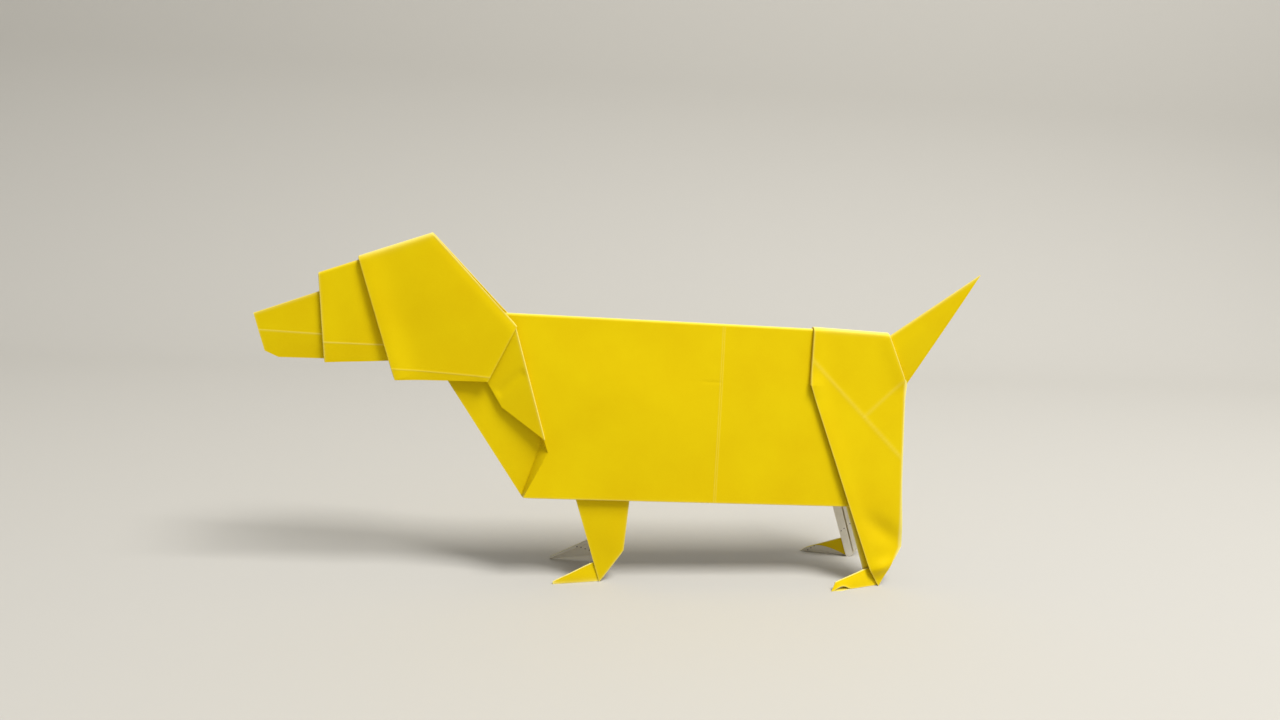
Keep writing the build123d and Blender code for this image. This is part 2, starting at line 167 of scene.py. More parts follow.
# Round swelling: a bell curve of the distance in two directions
def swelling(points, bump):
    offset = (points - bump["at"]) * np.conj(heading(bump.get("turn", 0)))
    return np.exp(-(offset.real / bump["reach"][0]) ** 2 - (offset.imag / bump["reach"][1]) ** 2)


# Wall that bends at a crease: zero on the crease's left, then the slope times the distance, up to its reach
def tilted(points, bend):
    along = unit(bend["to"] - bend["from"])
    return bend["slope"] * np.clip(-sideways(along, points - bend["from"]), 0, bend["reach"])


slowWave = {"along": 7.3, "swing": 1.1, "sway": 9.1, "up": 8.2, "start": 0.6}   # unevenness of a paper wall


# Outward relief of a wall, and the pale line of its creases (ink wear and a painted highlight), added up
# from its marks, tilts, swellings and a slow wave, which is a sine along x, swung by a sine of the height,
# times a sine of the height
def relief(points, look):
    height = np.zeros(points.shape)
    wear = np.zeros(points.shape)
    for mark in look.get("marks", []):
        line = raisedLine(points, mark)
        height += mark["height"] * line
        wear += mark.get("wear", 0) * line
    for bend in look.get("tilts", []):
        height += tilted(points, bend)
    for bump in look.get("swellings", []):
        height += bump["height"] * swelling(points, bump)
    swung = points.real / slowWave["along"] + slowWave["swing"] * np.sin(points.imag / slowWave["sway"])
    rising = points.imag / slowWave["up"] + slowWave["start"]
    height += look.get("wave", 0) * np.sin(swung) * np.sin(rising)
    return height, wear


# Panel between two ribs: straight across, plus the relief, which fades out towards the back fold
def span(left, right, columns, look=None):
    t = columns[:, None]
    grid = left[:, None] * (1 - t) + right[:, None] * t
    wear = np.zeros(grid.shape[:2])
    if look:
        height, wear = relief(grid[..., 0] + 1j * grid[..., 2], look)
        grid[..., 1] += height * np.tanh(grid[..., 1] / look.get("ridgeFade", 2.0))
    return grid, wear


# Turn of a pleat: half a circle from one layer's edge to the next, bowed away from both by up to half
# a layer step, and less over the last millimetre before the fold's ends
def turn(first, second, bow, wear=0.0):
    angles = np.linspace(0, np.pi, sheet["turnSteps"] + 1)[:, None]
    middle, half = (first + second) / 2, (first - second) / 2
    ends = np.minimum(np.linalg.norm(middle - middle[0], axis=1),
                      np.linalg.norm(middle - middle[-1], axis=1))
    reach = np.minimum(np.linalg.norm(half, axis=1), step / 2) * np.clip(ends, sheet["leastBow"], 1)
    bowed = reach[:, None, None] * np.array([bow.real, 0, bow.imag])
    grid = middle[:, None] + half[:, None] * np.cos(angles) + bowed * np.sin(angles)
    return grid, np.full(grid.shape[:2], wear)


# Ink wear along a span's edges, an exponential of the distance from each fold, and a painted highlight
# along its ridge, a bell curve of that distance
def paleWearAndHighlight(patch, left=0.0, right=0.0, low=0.0, ridgeHighlight=0.0, ridgeHighlightReach=0.42, reach=sheet["foldWear"]):
    grid, wear = patch
    for amount, edge in ((left, grid[:, :1]), (right, grid[:, -1:]), (low, grid[:1])):
        wear = wear + amount * np.exp(-np.linalg.norm(grid - edge, axis=2) / reach)
    middle = grid[grid.shape[0] // 2][None]
    wear = wear + ridgeHighlight * np.exp(-(np.linalg.norm(grid - middle, axis=2) / ridgeHighlightReach) ** 2)
    return grid, wear


# Patch mirrored in the middle plane, with its rows reversed so that it faces out again
def farSide(patch):
    grid, wear = patch
    return grid[::-1] * [1, -1, 1], wear[::-1]


# Rows of a rib within a count of its ridge, on both sides
def upperRows(edge, count):
    middle = edge.shape[0] // 2
    return edge[middle - count:middle + count + 1]


# Count of a rib's rows between its ridge and a knot
def rowsDownTo(rows, knot):
    return sheet["arcSteps"] - 1 + len(rowsUpTo(rows, knot))


# Rows and columns of a patch exchanged, which also turns it over
def transposed(patch):
    return patch[0].transpose(1, 0, 2), patch[1].T


# Faces of a grid: the four corners of each cell, in order round it
def gridFaces(shape):
    index = np.arange(shape[0] * shape[1]).reshape(shape)
    cells = [index[:-1, :-1], index[:-1, 1:], index[1:, 1:], index[1:, :-1]]
    return np.stack(cells, axis=-1).reshape(-1, 4)


# New object in the scene, at the origin
def addObject(name, data):
    added = bpy.data.objects.new(name, data)
    bpy.context.scene.collection.objects.link(added)
    return added


# One mesh from many grids: edges that meet are welded, and the sheet is thickened to both sides
def paperPiece(name, patches, materials, body="root"):
    offset, points, faces, wears = 0, [], [], []
    for grid, wear in patches:
        faces.append(offset + gridFaces(wear.shape))
        points.append(grid.reshape(-1, 3))
        wears.append(wear.reshape(-1))
        offset += wear.size
    points = np.concatenate(points) + [sheet["shoulderAt"], 0, 0]
    points[:, 2] = np.maximum(points[:, 2], sheet["thickness"] / 2)     # feet stand on the floor
    points = points * millimetre
    mesh = bpy.data.meshes.new(name)
    mesh.from_pydata(points, [], np.concatenate(faces))
    # Pale ink wear along folds, and painted highlights along ridges and creases, one amount per point
    inkWearAndHighlight = mesh.attributes.new("inkWearAndHighlight", "FLOAT", "POINT")
    inkWearAndHighlight.data.foreach_set("value", np.concatenate(wears).clip(0, 1).astype(np.float32))
    welded = bmesh.new()
    welded.from_mesh(mesh)
    bmesh.ops.remove_doubles(welded, verts=welded.verts, dist=sheet["weld"] * millimetre)
    bmesh.ops.dissolve_degenerate(welded, edges=welded.edges, dist=sheet["weld"] * millimetre)
    welded.to_mesh(mesh)
    welded.free()
    piece = addObject(name, mesh)
    for material in materials:
        mesh.materials.append(material)
    solidify = piece.modifiers.new("paperThickness", "SOLIDIFY")
    solidify.thickness = sheet["thickness"] * millimetre
    solidify.offset = 0
    solidify.material_offset = 1
    solidify.material_offset_rim = 2
    bpy.context.view_layer.update()
    made = bpy.data.meshes.new_from_object(piece.evaluated_get(bpy.context.evaluated_depsgraph_get()))
    piece.modifiers.clear()
    piece.data = made
    made.name = name
    made.shade_smooth()
    made.set_sharp_from_angle(angle=np.radians(sheet["sharpFrom"]))
    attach(piece, body)
    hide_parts("folded_sheet")
    print("made", name, len(made.polygons), "faces")


# Inputs of a shader node by label or number: each gets a value or another node's output
def fillInputs(tree, node, given):
    for key, value in given.items():
        if isinstance(value, bpy.types.NodeSocket):
            tree.links.new(value, node.inputs[key])
        else:
            node.inputs[key].default_value = value


# New shader node with its properties and inputs
def newNode(tree, kind, given=None, **properties):
    node = tree.nodes.new("ShaderNode" + kind)
    for key, value in properties.items():
        setattr(node, key, value)
    fillInputs(tree, node, given or {})
    return node


# Result of a calculation on values or other nodes' outputs, in order
def calculated(tree, kind, operation, *terms, **properties):
    return newNode(tree, kind, dict(enumerate(terms)), operation=operation, **properties).outputs["Value"]


# Value carried in proportion from one range to another, and held within that one
def mapped(tree, value, low, high, lowTo=0.0, highTo=1.0):
    given = {"Value": value, "From Min": low, "From Max": high, "To Min": lowTo, "To Max": highTo}
    return newNode(tree, "MapRange", given).outputs["Result"]


# Blend from the first colour to the second by the factor
def mixColours(tree, factor, first, second):
    return newNode(tree, "Mix", {0: factor, 6: first, 7: second}, data_type="RGBA").outputs[2]


# Linear colour of a display colour: a straight part near black, then a power of 2.4
def srgb(red, green, blue):
    c = np.array([red, green, blue]) / 255
    linear = np.where(c <= 0.04045, c / 12.92, ((c + 0.055) / 1.055) ** 2.4)
    return (*linear.tolist(), 1.0)


# Paper surface: cloudy mottle, fine fibres, and a fibre height that is their product
def paperFibre():
    group = bpy.data.node_groups.new("paperFibre", "ShaderNodeTree")
    for label in ("Mottle Scale", "Fibre Scale"):
        group.interface.new_socket(label, in_out="INPUT", socket_type="NodeSocketFloat")
    for label in ("Mottle", "Fibre", "Height"):
        group.interface.new_socket(label, in_out="OUTPUT", socket_type="NodeSocketFloat")
    scales, result = group.nodes.new("NodeGroupInput").outputs, group.nodes.new("NodeGroupOutput")
    where = newNode(group, "TexCoord").outputs["Object"]
    cloudy = {"Scale": scales["Mottle Scale"], "Detail": 3.0, "Roughness": 0.55}
    fine = {"Scale": scales["Fibre Scale"], "Detail": 4.0, "Roughness": 0.65, "Distortion": 1.4}
    mottle, fibre = (newNode(group, "TexNoise", {"Vector": where, **noise}).outputs["Fac"]
                     for noise in (cloudy, fine))
    weave = calculated(group, "Math", "MULTIPLY", mottle, fibre)
    fillInputs(group, result, {"Mottle": mottle, "Fibre": fibre, "Height": weave})
    return group


fibreGroup = paperFibre()
fibreRanges = {"clouds": (0.3, 0.7), "specks": (0.35, 0.75), "ragged": (0.5, 1.0)}


# Ruling printed in dots: distance from the middle of the nearest cell of a slanted grid,
# inked inside the dot's radius
def dottedRuling(tree, colour, dots):
    where = newNode(tree, "TexCoord").outputs["Object"]
    along = heading(dots["angle"])
    directions = {"X": (along, dots["pitch"], 0.0), "Y": (along * 1j, dots["rowGap"], dots["firstRow"])}
    offsets = {}
    for axis, (direction, gap, first) in directions.items():
        scale = 1 / (gap * millimetre)
        cells = (direction.real * scale, 0, direction.imag * scale)
        share = calculated(tree, "VectorMath", "DOT_PRODUCT", where, cells)
        shifted = calculated(tree, "Math", "SUBTRACT", share, first / gap - 0.5)
        cell = calculated(tree, "Math", "FRACT", shifted)
        offsets[axis] = calculated(tree, "Math", "MULTIPLY_ADD", cell, gap, -gap / 2)
    centred = newNode(tree, "CombineXYZ", offsets).outputs["Vector"]
    distance = calculated(tree, "VectorMath", "LENGTH", centred)
    edge = [dots["radius"] * (1 - dots["blur"]), dots["radius"] * (1 + dots["blur"])]
    return mixColours(tree, mapped(tree, distance, *edge, dots["strength"], 0.0), colour, dots["ink"])


# Paper finish: two tones blended by the mottle and specks by the fibre, then the pale tone of ink wear and
# of painted highlights, whose stored amount is taken times a ragged fibre, and the dots, where the look has
# them
def paperFinish(name, look):
    material = bpy.data.materials.new(name)
    material.use_nodes = True
    tree = material.node_tree
    scales = {"Mottle Scale": look["mottleScale"], "Fibre Scale": look["fibreScale"]}
    fibre = newNode(tree, "Group", scales, node_tree=fibreGroup).outputs
    clouds = mapped(tree, fibre["Mottle"], *fibreRanges["clouds"])
    specks = mapped(tree, fibre["Fibre"], *fibreRanges["specks"], 0.0, look["speckle"])
    colour = mixColours(tree, clouds, look["deep"], look["light"])
    colour = mixColours(tree, specks, colour, look["speck"])
    if "paleWearAndHighlight" in look:
        wear = newNode(tree, "Attribute", attribute_name="inkWearAndHighlight").outputs["Fac"]
        ragged = mapped(tree, fibre["Fibre"], 0.0, 1.0, *fibreRanges["ragged"])
        colour = mixColours(tree, calculated(tree, "Math", "MULTIPLY", wear, ragged), colour, look["paleWearAndHighlight"])
    if "dots" in look:
        colour = dottedRuling(tree, colour, look["dots"])
    bump = {"Strength": look["bump"], "Height": fibre["Height"],
            "Distance": sheet["fibreDepth"] * millimetre}
    fillInputs(tree, tree.nodes["Principled BSDF"], {
        "Base Color": colour, "Roughness": mapped(tree, fibre["Fibre"], 0.0, 1.0, *look["roughness"]),
        "Specular IOR Level": look["gloss"], "Specular Tint": look.get("sheen", (1.0, 1.0, 1.0, 1.0)),
        "Normal": newNode(tree, "Bump", bump).outputs["Normal"],
    })
    return material


yellowFace = paperFinish("yellowFace", {
    "deep": srgb(222, 189, 4), "light": srgb(228, 199, 6), "speck": srgb(233, 207, 18),
    "speckle": 0.25, "mottleScale": 60.0, "fibreScale": 2600.0,
    # pale tone of worn ink at folds, also the painted highlight on ridges and creases
    "paleWearAndHighlight": srgb(252, 244, 160), "sheen": srgb(255, 236, 90),
    "roughness": (0.36, 0.5), "gloss": 0.36, "bump": 0.12,
})
whiteLook = {
    "deep": srgb(226, 220, 204), "light": srgb(234, 229, 216), "speck": srgb(214, 206, 186),
    "speckle": 0.25, "mottleScale": 80.0, "fibreScale": 2200.0,
    "roughness": (0.62, 0.78), "gloss": 0.3, "bump": 0.16,
    "dots": {   # sizes in millimetres, rows slanted from level by the angle
        "angle": 45, "pitch": 1.05, "rowGap": 9.0, "firstRow": -38.1, "radius": 0.17,
        "ink": srgb(84, 62, 66), "strength": 0.85, "blur": 0.3,     # blur is a share of the radius
    },
}
footDots = {"angle": -18, "pitch": 1.17, "firstRow": 0.54}     # another way on the front legs and feet
whiteFace = paperFinish("whiteFace", whiteLook)
whiteFoot = paperFinish("whiteFoot", {**whiteLook, "dots": {**whiteLook["dots"], **footDots}})
cutEdge = paperFinish("cutEdge", {
    "deep": srgb(240, 226, 132), "light": srgb(246, 236, 164), "speck": srgb(230, 214, 110),
    "speckle": 0.3, "mottleScale": 200.0, "fibreScale": 3000.0,
    "roughness": (0.6, 0.75), "gloss": 0.3, "bump": 0.1,
})
paperMaterials = [yellowFace, whiteFace, cutEdge]
frontMaterials = [yellowFace, whiteFoot, cutEdge]
print("paper finishes ready")

# Roll of each part's back fold: two layer steps more or less than the part before it
muzzleRoll = 0.2
browRoll = muzzleRoll + 2 * step
headRoll = browRoll + 2 * step
bodyRoll = headRoll - 2 * step
hindRoll = bodyRoll + 2 * step
tailRoll = hindRoll - 2 * step

backLine = {
    "height": 66.2, "angle": -1.2, "length": 77.4, "depth": 44.0,   # shoulder to hindquarter, back to belly
    "hem": 8.0, "hemTaper": 6.0, "hemLeast": 0.04,                  # strip turned up inside the belly
    "creaseAt": 54.1, "creaseGap": 0.5,                             # double crease across the body
    "breastDrop": 0.4, "bellyStart": 0.75,                          # breast point and the belly's corner
    "pressMark": (49.2 + 51.4j, 53.9 + 51.2j),                      # short dent beside the crease
}
back = heading(backLine["angle"])
down = back * -1j
shoulder = 1j * backLine["height"]
bellyFront = shoulder + down * backLine["depth"]

# Head, brow and muzzle
headFold = {
    "poll": -17.3 + 18.5j,                          # top of the head, from the shoulder
    "top": (18.5, 19.9), "front": (29.3, -73.1),    # lengths and angles of its edges
    "nape": (28.6, -46.3), "cheek": (15.1, -116.0),
    "creaseFront": 2.85, "creaseRear": 1.2,         # hem crease above the lower corners
    "hingeInset": 0.8,
}
browFold = {
    "tuck": 4.0, "top": (14.2, 20.1), "front": (20.6, -86.0), "tuckLength": 25.6,
    "creaseFront": 4.85, "creaseRise": -1.0,        # hem crease above the lower corner, and its angle
}
muzzleFold = {
    "tuck": 7.0, "top": (23.4, 20.6), "nose": (9.0, -74.3), "chin": (3.5, -24.8),
    "creaseDown": 3.8, "creaseRise": -2.2,
}
poll = shoulder + headFold["poll"]
headTop, headFront = heading(headFold["top"][1]), heading(headFold["front"][1])
browPoint = poll - stride(headFold["top"])
jowl = browPoint + stride(headFold["front"])
nape, cheek = heading(headFold["nape"][1]), heading(headFold["cheek"][1])
cheekTop = poll + stride(headFold["nape"])
cheekLow = cheekTop + stride(headFold["cheek"])
browBack = mirrored(-headTop, headFront)
browInner = browPoint + browBack * browFold["tuck"]
browTop, browFront = heading(browFold["top"][1]), heading(browFold["front"][1])
browTuck = unit(browBack - browTop)
browInnerLow = browInner + browTuck * browFold["tuckLength"]
bridge = browInner - stride(browFold["top"])
browLow = bridge + stride(browFold["front"])
muzzleBack = mirrored(-browTop, browFront)
muzzleInner = bridge + muzzleBack * muzzleFold["tuck"]
muzzleTop = heading(muzzleFold["top"][1])
muzzleTuck = unit(muzzleBack - muzzleTop)
nose = muzzleInner - stride(muzzleFold["top"])
noseDown = heading(muzzleFold["nose"][1])
noseLow = nose + stride(muzzleFold["nose"])
chin = noseLow + stride(muzzleFold["chin"])
muzzleInnerLow = atLevel(muzzleInner, muzzleTuck, chin.imag)
napeBack = mirrored(headTop, nape)
withers = crossing(poll, napeBack, shoulder, back)
breastFold = unit(napeBack + back)
breast = crossing(withers, breastFold, bellyFront + down * backLine["breastDrop"], back)
bellyCorner = crossing(withers, breastFold, bellyFront, back) + back * backLine["bellyStart"]
throat = crossing(withers, breastFold, jowl, unit(cheekLow - jowl))
hingeTop = cheekTop - nape * headFold["hingeInset"]
hingeLow = cheekLow + unit(jowl - cheekLow) * headFold["hingeInset"]

headLayer = layer(browPoint, headTop, headRoll, headLean)
browPleatLayer = layer(browPoint, browBack, headRoll - step, headLean)
browLayer = layer(bridge, browTop, browRoll, headLean)
muzzlePleatLayer = layer(bridge, muzzleBack, browRoll - step, headLean)
muzzleLayer = layer(nose, muzzleTop, muzzleRoll, headLean)
napePleatLayer = layer(poll, napeBack, headRoll - step, headLean)

# Hem creases, as side-view points
muzzleCrease = nose + noseDown * muzzleFold["creaseDown"]
muzzleCreaseRear = crossing(muzzleCrease, heading(muzzleFold["creaseRise"]), muzzleInner, muzzleTuck)
browCrease = browLow - browFront * browFold["creaseFront"]
browCreaseRear = crossing(browCrease, heading(browFold["creaseRise"]), browInner, browTuck)
headCrease = jowl - headFront * headFold["creaseFront"]
headCreaseRear = cheekLow - cheek * headFold["creaseRear"]
creaseKnot, noseKnot, cheekKnot = 0.6, 0.85, 0.45
headRows = easedRows((0, cheekKnot, creaseKnot, noseKnot, 1), (24, 16, 10, 8))
# Hem crease: a slight rise, and a pale line of worn ink with a painted highlight along it
hemCrease = {"height": 0.04, "width": 0.13, "wear": 0.3}
cheekCrease = {**hemCrease, "wear": 0.2}
hemTilt = {"slope": -0.06, "reach": 9.0}        # strip below a hem crease leans in
muzzleTilt = {"slope": -0.1, "reach": 9.0}


# Columns from 0 to 1, eased by half a cosine
def easedColumns(count):
    return easedRows((0, 1), (count,))


# Fold line over the head, with the head's rows
def headRib(wall, points, knots):
    return rib(wall, points, knots, headRows)


# Folded head, nose to nape through three pleats: each panel is a straight blend from one fold line
# to the next, plus its relief, and a half circle turns it into the layer below
def foldedHead():
    hem = (0, creaseKnot, 1)
    noseLine = (nose, muzzleCrease, noseLow, chin)
    muzzleLine = (muzzleInner, muzzleCreaseRear, muzzleInnerLow)
    bridgeLine = (bridge, browCrease, browLow)
    browLine = (browInner, browCreaseRear, browInnerLow)
    headLine = (browPoint, headCrease, jowl)
    napeLine = (poll, cheekTop, headCreaseRear, cheekLow)
    muzzleLook = {
        "wave": 0.04,
        "marks": [fromTo(muzzleCrease, muzzleCreaseRear, **hemCrease)],
        "tilts": [fromTo(muzzleCrease, muzzleCreaseRear, **muzzleTilt)],
    }
    browLook = {
        "wave": 0.04,
        "marks": [
            fromTo(browCrease, browCreaseRear, **hemCrease),
            fromTo(bridge, browLow, height=0.3, width=3.0),
            fromTo(browPoint, jowl, height=-0.45, width=2.6),     # dips under the head
        ],
        "tilts": [fromTo(browCrease, browCreaseRear, **hemTilt)],
    }
    headLook = {
        "wave": 0.07,
        "marks": [
            fromTo(headCrease, headCreaseRear, **cheekCrease),
            fromTo(browPoint, jowl, height=1.0, width=4.0),
            fromTo(cheekTop, cheekLow, height=0.45, width=3.0),
            fromTo(poll, cheekTop, height=-0.25, width=1.2),
        ],
        "tilts": [fromTo(headCrease, headCreaseRear, **hemTilt)],
        "swellings": [{"at": poll + 14 * heading(-95), "reach": (11, 12), "height": 0.45}],
    }
    muzzle = span(headRib(muzzleLayer, noseLine, (0, creaseKnot, noseKnot, 1)),
                  headRib(muzzleLayer, muzzleLine, hem), easedColumns(34), muzzleLook)
    muzzlePleat = span(headRib(muzzlePleatLayer, muzzleLine, hem),
                       headRib(muzzlePleatLayer, bridgeLine, hem), easedColumns(8))
    brow = span(headRib(browLayer, bridgeLine, hem),
                headRib(browLayer, browLine, hem), easedColumns(30), browLook)
    browPleat = span(headRib(browPleatLayer, browLine, hem),
                     headRib(browPleatLayer, headLine, hem), easedColumns(8))
    head = span(headRib(headLayer, headLine, hem),
                headRib(headLayer, napeLine, (0, cheekKnot, creaseKnot, 1)), easedColumns(44), headLook)
    napePleat = span(headRib(napePleatLayer, (poll, cheekTop, hingeLow), (0, cheekKnot, 1)),
                     headRib(napePleatLayer, (withers, throat), (0, 1)), easedColumns(14))
    neckEdge = headRib(neckLayer, (withers, throat), (0, 1))
    folded = rowsDownTo(headRows, cheekKnot)            # nape fold stops at the cheek
    rearWearAndHighlight = np.full((head[0].shape[0], 1), 0.15)     # light wear along the cheek, and along the nape a stronger pale band, a painted highlight of the nape fold
    upperRows(rearWearAndHighlight, folded)[:] = 0.6
    # Ridge amounts paint a highlight along the top folds of muzzle, brow and head
    return [
        paleWearAndHighlight(muzzle, left=0.3, low=0.2, ridgeHighlight=0.4), muzzlePleat,
        paleWearAndHighlight(brow, left=0.4, ridgeHighlight=0.45), browPleat,
        paleWearAndHighlight(head, left=0.15, right=rearWearAndHighlight, ridgeHighlight=1.0, ridgeHighlightReach=0.95), napePleat,
        turn(muzzle[0][:, -1], muzzlePleat[0][:, 0], muzzleTuck * 1j),
        turn(muzzlePleat[0][:, -1], brow[0][:, 0], browFront * -1j, wear=0.4),
        turn(brow[0][:, -1], browPleat[0][:, 0], browTuck * 1j),
        turn(browPleat[0][:, -1], head[0][:, 0], headFront * -1j, wear=0.15),
        turn(upperRows(head[0][:, -1], folded), upperRows(napePleat[0][:, 0], folded),
             nape * 1j, wear=0.5),
        turn(napePleat[0][:, -1], neckEdge, breastFold * -1j),
    ]


# Neck, body, hindquarter and tail
neckFold = {"stepAlong": 10.0, "stepDepth": 30.4, "stepWidth": 1.6, "stepFall": 2.5, "nest": 0.04}
hindFold = {
    "croup": (20.2, -2.7), "tuck": 8.0, "thigh": (13.4, -92.1), "edge": -69.5, "ankle": 4.4,
    "rump": (11.5, -67.6), "hock": 7.85 + 10j, "hockCut": (4.0, -115.6), "heel": -117.7,
    "hipCrease": (6.9, -44.8), "rumpCrease": -137.3,
    "hemWidth": (2.8, 2.1), "hemStart": 2.0, "slit": 0.35, "rearHem": 20.0, "hemFoot": 0.5,
}
tailFold = {
    "tuck": 3.0, "length": 30.6, "angle": 36.5, "base": 12.6,
    "tipRoll": 0.14, "tipReach": 0.6, "tipShare": 0.004,    # blunt tip
    "bendAt": 0.3,                                          # bend along the wall, as a share of the base
}
stepInner = shoulder + back * neckFold["stepAlong"] + down * neckFold["stepDepth"]
stepOuter = stepInner + back * neckFold["stepWidth"] + down * neckFold["stepFall"]
thighPoint = shoulder + back * backLine["length"]
croup, thigh = heading(hindFold["croup"][1]), heading(hindFold["thigh"][1])
thighEdge, rump = heading(hindFold["edge"]), heading(hindFold["rump"][1])
thighCorner = thighPoint + stride(hindFold["thigh"])
thighBack = mirrored(-croup, thigh)
thighInner = thighPoint + thighBack * hindFold["tuck"]
thighInnerLow = thighInner + stride(hindFold["thigh"])
bellyRear = crossing(thighInnerLow, thighEdge, bellyFront, back)
ankle = atLevel(thighCorner, thighEdge, hindFold["ankle"])
rumpPoint = thighPoint + stride(hindFold["croup"])
rumpLow = rumpPoint + stride(hindFold["rump"])
rearLow = ankle.real + hindFold["hock"]
hock = rearLow + stride(hindFold["hockCut"])
heel = atLevel(hock, heading(hindFold["heel"]), 0)
hipCrease = thighPoint + thigh * hindFold["hipCrease"][0]     # two creases that cross the thigh
rearCrease = crossing(hipCrease, heading(hindFold["hipCrease"][1]), rearLow, rearLow - rumpLow)
rumpCrease = crossing(rumpLow, heading(hindFold["rumpCrease"]), hipCrease, rearCrease - hipCrease)
tailBack = mirrored(croup, rump)
tailInner = rumpPoint + tailBack * tailFold["tuck"]
tailTop = heading(tailFold["angle"])
tailTip = tailInner + tailTop * tailFold["length"]
tailLow = tailInner + tailTop * -1j * tailFold["base"]

neckLayer = layer(shoulder, back, bodyRoll - neckFold["nest"], headLean)
bodyLayer = layer(shoulder, back, bodyRoll, bodyLean)
hindLayer = layer(thighPoint, croup, hindRoll, bodyLean)
thighPleatLayer = layer(thighPoint, thighBack, hindRoll - step, bodyLean)
tailPleatLayer = layer(rumpPoint, tailBack, hindRoll - step, bodyLean)
tailLayer = layer(tailInner, tailTop, tailRoll, bodyLean)
tipLayer = layer(tailInner, tailTop, tailFold["tipRoll"], bodyLean)

thighKnot, stepKnot, rearKnot, hockKnot = 0.3, 0.7, 0.86, 0.93
bodyKnots = (0, thighKnot, stepKnot, rearKnot, hockKnot, 1)
bodyRows = easedRows(bodyKnots, (30, 64, 24, 12, 12))
thighRows = rowsUpTo(bodyRows, thighKnot)
pleatRows = thighRows / thighKnot
thighFolded = rowsDownTo(bodyRows, thighKnot)


# Hem turned up inside a lower edge: half a turn, then a strip as tall as given for each column
def turnedHem(edge, height, rise, wallLean):
    inner = edge + [0, step, 0]
    tall = height[:, None] * np.array([rise.real, np.tan(np.radians(wallLean)), rise.imag])
    share = np.linspace(1, 0, 9)[:, None, None]
    strip = inner[None] + tall[None] * share
    return [(strip, np.zeros(strip.shape[:2])), transposed(turn(inner, edge, -rise, wear=0.5))]


# Neck and body, throat to thigh: panels blended from fold line to fold line, a narrow facet for the step
# behind the neck flap, and the hem inside the belly, whose height runs out at both ends
def foldedBody():
    creaseTop = shoulder + back * backLine["creaseAt"]
    creaseLow = bellyFront + back * backLine["creaseAt"]
    neckLeft = rib(neckLayer, (withers, breast), (0, 1), bodyRows)
    neckRight = rib(neckLayer, (shoulder, stepInner, breast), (0, stepKnot, 1), bodyRows)
    bodyLeft = rib(bodyLayer, (shoulder, stepOuter, bellyCorner), (0, stepKnot, 1), bodyRows)
    bodyCrease = rib(bodyLayer, (creaseTop, creaseLow), (0, 1), bodyRows)
    bodyRight = rib(bodyLayer, (thighInner, thighInnerLow, bellyRear), (0, thighKnot, 1), bodyRows)
    gap = back * backLine["creaseGap"] / 2
    # Pressed crease lines: a slight rise, and a pale line of worn ink with a painted highlight
    pressed = {"height": 0.035, "width": 0.12, "wear": 0.12}
    bodyLook = {
        "wave": 0.1,
        "marks": [
            fromTo(creaseTop - gap, creaseLow - gap, **pressed),
            fromTo(creaseTop + gap, creaseLow + gap, **pressed),
            fromTo(*backLine["pressMark"], height=-0.05, width=0.4),
        ],
        "swellings": [{"at": 36 + 46j, "reach": (26, 15), "height": 0.6}],
    }
    nearCrease = np.linspace(0, 0.8, 9)     # fine columns at the double crease
    frontColumns = np.union1d(easedColumns(50), 1 - nearCrease / backLine["creaseAt"])
    rearColumns = np.union1d(easedColumns(30), nearCrease / (thighInner.real - backLine["creaseAt"]))
    neck = span(neckLeft, neckRight, easedColumns(18), {"wave": 0.03})
    bodyFront = span(bodyLeft, bodyCrease, frontColumns, bodyLook)
    stepFacet = span(neck[0][:, -1], bodyFront[0][:, 0], easedColumns(4))
    bodyRear = span(bodyCrease, bodyRight, rearColumns, bodyLook)
    thighEdgeLine = rib(thighPleatLayer, (thighInner, thighInnerLow), (0, 1), pleatRows)
    bellyColumns = np.concatenate([bodyFront[0][0], bodyRear[0][0][1:]])
    ends = np.minimum(bellyColumns[:, 0] - bellyCorner.real, bellyRear.real - bellyColumns[:, 0])
    hemHeight = backLine["hem"] * np.clip(ends / backLine["hemTaper"], backLine["hemLeast"], 1)
    bellyHem = turnedHem(bellyColumns, hemHeight, -down, bodyLean)
    # Ridge amount paints a highlight along the back's top fold
    return [
        paleWearAndHighlight(neck, left=0.2), stepFacet,
        paleWearAndHighlight(bodyFront, low=0.2, ridgeHighlight=0.8), paleWearAndHighlight(bodyRear, low=0.2, ridgeHighlight=0.8),
        turn(upperRows(bodyRear[0][:, -1], thighFolded), thighEdgeLine, thigh * 1j),
        *bellyHem, *[farSide(patch) for patch in bellyHem],
    ]


# Creases, dents and swellings of the hind wall, which its hems follow
legSwellings = [
    {"at": 98.2 + 13.8j, "reach": (6.2, 2.6), "turn": -36, "height": -0.8},     # dent above the hock
    {"at": 97.6 + 5.2j, "reach": (3.2, 1.7), "turn": 24, "height": 1.05},       # swelling at the heel
]
hindLook = {
    "wave": 0.08, "ridgeFade": 1.2,
    "marks": [
        # crease marks carry a pale line: worn ink with a painted highlight along the crease
        fromTo(hipCrease, rearCrease, height=0.06, width=0.42, wear=0.11),
        fromTo(rumpCrease, rumpLow, height=0.05, width=0.42, wear=0.09),
        fromTo(rumpPoint, rumpLow, height=0.4, width=2.5),
        fromTo(thighPoint, thighCorner, height=0.5, width=3.5),
        fromTo(thighCorner, ankle, height=0.4, width=3.0),
    ],
    "tilts": [
        fromTo(hipCrease, rearCrease, slope=0.025, reach=10.0),
        fromTo(rumpCrease, rumpLow, slope=0.03, reach=5.0),
    ],
    "swellings": legSwellings,
}


